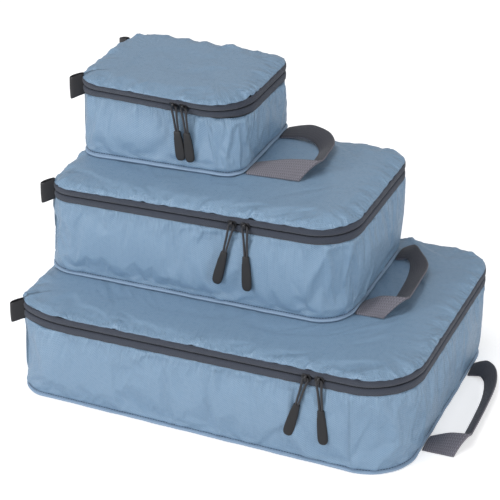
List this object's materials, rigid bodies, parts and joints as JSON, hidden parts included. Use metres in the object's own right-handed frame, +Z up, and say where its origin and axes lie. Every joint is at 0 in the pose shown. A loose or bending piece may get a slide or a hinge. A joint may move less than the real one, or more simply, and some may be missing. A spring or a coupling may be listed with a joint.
{
  "type": "packing cube set",
  "caption": "Stacked zip-up ripstop packing cubes in graded sizes, each with a domed lid, piped base, coil zipper with sliders and cord pulls, end tabs and a webbing handle.",
  "frame": {"origin": "on the floor, under the large cube's base panel, within 5 mm of its middle", "axes": "+X along the long sides towards the webbing handles, +Y from the slider side to the back, +Z up"},
  "size_m": [0.491, 0.2961, 0.3096],
  "materials": {
    "nylon": "shiny woven nylon with a fine diamond ripstop grid",
    "nylon_base": "woven nylon",
    "piping": "folded nylon binding",
    "zip_tape": "matt woven tape",
    "zip_coil": "nylon coil",
    "tab_cloth": "matt black cloth",
    "slider_metal": "black lacquer",
    "cord": "thin braided cord",
    "grip_rubber": "satin moulded",
    "webbing": "woven webbing",
    "label": "woven blank label"
  },
  "bodies": {
    "large_body": {"large_base_panel": "nylon_base", "large_bottom_piping": "piping", "large_side_wall": "nylon", "large_hinge_strip": "nylon", "large_lower_tape": "zip_tape", "large_lower_coil": "zip_coil", "large_front_tab": "tab_cloth", "large_back_tab": "tab_cloth", "large_side_label": "label"},
    "large_lid": {"large_lid_panel": "nylon", "large_upper_tape": "zip_tape", "large_upper_coil": "zip_coil"},
    "large_slider_left": {"large_slider_left": "slider_metal"},
    "large_pull_left": {"large_pull_cord_left": "cord", "large_pull_grip_left": "grip_rubber"},
    "large_slider_right": {"large_slider_right": "slider_metal"},
    "large_pull_right": {"large_pull_cord_right": "cord", "large_pull_grip_right": "grip_rubber"},
    "large_handle": {"large_handle": "webbing"},
    "medium_body": {"medium_base_panel": "nylon_base", "medium_bottom_piping": "piping", "medium_side_wall": "nylon", "medium_hinge_strip": "nylon", "medium_lower_tape": "zip_tape", "medium_lower_coil": "zip_coil", "medium_front_tab": "tab_cloth", "medium_back_tab": "tab_cloth", "medium_side_label": "label"},
    "medium_lid": {"medium_lid_panel": "nylon", "medium_upper_tape": "zip_tape", "medium_upper_coil": "zip_coil"},
    "medium_slider_left": {"medium_slider_left": "slider_metal"},
    "medium_pull_left": {"medium_pull_cord_left": "cord", "medium_pull_grip_left": "grip_rubber"},
    "medium_slider_right": {"medium_slider_right": "slider_metal"},
    "medium_pull_right": {"medium_pull_cord_right": "cord", "medium_pull_grip_right": "grip_rubber"},
    "medium_handle": {"medium_handle": "webbing"},
    "small_body": {"small_base_panel": "nylon_base", "small_bottom_piping": "piping", "small_side_wall": "nylon", "small_hinge_strip": "nylon", "small_lower_tape": "zip_tape", "small_lower_coil": "zip_coil", "small_front_tab": "tab_cloth", "small_back_tab": "tab_cloth", "small_side_label": "label"},
    "small_lid": {"small_lid_panel": "nylon", "small_upper_tape": "zip_tape", "small_upper_coil": "zip_coil"},
    "small_slider_left": {"small_slider_left": "slider_metal"},
    "small_pull_left": {"small_pull_cord_left": "cord", "small_pull_grip_left": "grip_rubber"},
    "small_slider_right": {"small_slider_right": "slider_metal"},
    "small_pull_right": {"small_pull_cord_right": "cord", "small_pull_grip_right": "grip_rubber"},
    "small_handle": {"small_handle": "webbing"}
  },
  "joints": [
    {"name": "large_lid_hinge", "type": "hinge", "parent": "large_body", "child": "large_lid", "pos_m": [-0.2235, -0.001, 0.09832], "axis": [0, -1, 0], "range_deg": [0, 100]},
    {"name": "large_slider_left_run", "type": "slide", "parent": "large_body", "child": "large_slider_left", "axis": [-0.9997, 0, -0.023], "range_m": [0, 0.286]},
    {"name": "large_pull_left_swing", "type": "hinge", "parent": "large_slider_left", "child": "large_pull_left", "pos_m": [0.1088, -0.1477, 0.09772], "axis": [-0.9997, 0, -0.023], "range_deg": [0, 130]},
    {"name": "large_slider_right_run", "type": "slide", "parent": "large_body", "child": "large_slider_right", "axis": [0.9997, 0, 0.023], "range_m": [0, 0.026]},
    {"name": "large_pull_right_swing", "type": "hinge", "parent": "large_slider_right", "child": "large_pull_right", "pos_m": [0.1226, -0.1477, 0.09803], "axis": [-0.9997, 0, -0.023], "range_deg": [0, 130]},
    {"name": "large_handle_lift", "type": "hinge", "parent": "large_body", "child": "large_handle", "pos_m": [0.2123, -0.001, 0.00198], "axis": [0, -1, 0], "range_deg": [0, 60]},
    {"name": "medium_lift", "type": "slide", "parent": "large_body", "child": "medium_body", "axis": [0, 0, 1], "range_m": [0, 0.8]},
    {"name": "medium_lid_hinge", "type": "hinge", "parent": "medium_body", "child": "medium_lid", "pos_m": [-0.216, 0.028, 0.20638], "axis": [0, -1, 0], "range_deg": [0, 100]},
    {"name": "medium_slider_left_run", "type": "slide", "parent": "medium_body", "child": "medium_slider_left", "axis": [-0.9991, 0, -0.0436], "range_m": [0, 0.172]},
    {"name": "medium_pull_left_swing", "type": "hinge", "parent": "medium_slider_left", "child": "medium_pull_left", "pos_m": [-0.0034, -0.0727, 0.2074], "axis": [-0.9991, 0, -0.0436], "range_deg": [0, 130]},
    {"name": "medium_slider_right_run", "type": "slide", "parent": "medium_body", "child": "medium_slider_right", "axis": [0.9991, 0, 0.0436], "range_m": [0, 0.058]},
    {"name": "medium_pull_right_swing", "type": "hinge", "parent": "medium_slider_right", "child": "medium_pull_right", "pos_m": [0.0112, -0.0727, 0.20804], "axis": [-0.9991, 0, -0.0436], "range_deg": [0, 130]},
    {"name": "medium_handle_lift", "type": "hinge", "parent": "medium_body", "child": "medium_handle", "pos_m": [0.1198, 0.028, 0.116], "axis": [0, -1, 0], "range_deg": [0, 60]},
    {"name": "small_lift", "type": "slide", "parent": "medium_body", "child": "small_body", "axis": [0, 0, 1], "range_m": [0, 0.61]},
    {"name": "small_lid_hinge", "type": "hinge", "parent": "small_body", "child": "small_lid", "pos_m": [-0.2105, 0.066, 0.3021], "axis": [0, -1, 0], "range_deg": [0, 110]},
    {"name": "small_slider_left_run", "type": "slide", "parent": "small_body", "child": "small_slider_left", "axis": [-1, 0, 0], "range_m": [0, 0.076]},
    {"name": "small_pull_left_swing", "type": "hinge", "parent": "small_slider_left", "child": "small_pull_left", "pos_m": [-0.096, -0.0077, 0.29385], "axis": [-1, 0, 0], "range_deg": [0, 130]},
    {"name": "small_slider_right_run", "type": "slide", "parent": "small_body", "child": "small_slider_right", "axis": [1, 0, 0], "range_m": [0, 0.01]},
    {"name": "small_pull_right_swing", "type": "hinge", "parent": "small_slider_right", "child": "small_pull_right", "pos_m": [-0.0849, -0.0077, 0.29385], "axis": [-1, 0, 0], "range_deg": [0, 130]},
    {"name": "small_handle_lift", "type": "hinge", "parent": "small_body", "child": "small_handle", "pos_m": [-0.0207, 0.066, 0.22763], "axis": [0, -1, 0], "range_deg": [0, 60]}
  ],
  "couplings": [
    {"joint": "large_lid_hinge", "follows": "medium_lift", "rad_per_m": 2.1739},
    {"joint": "medium_lid_hinge", "follows": "small_lift", "rad_per_m": 2.8571}
  ]
}
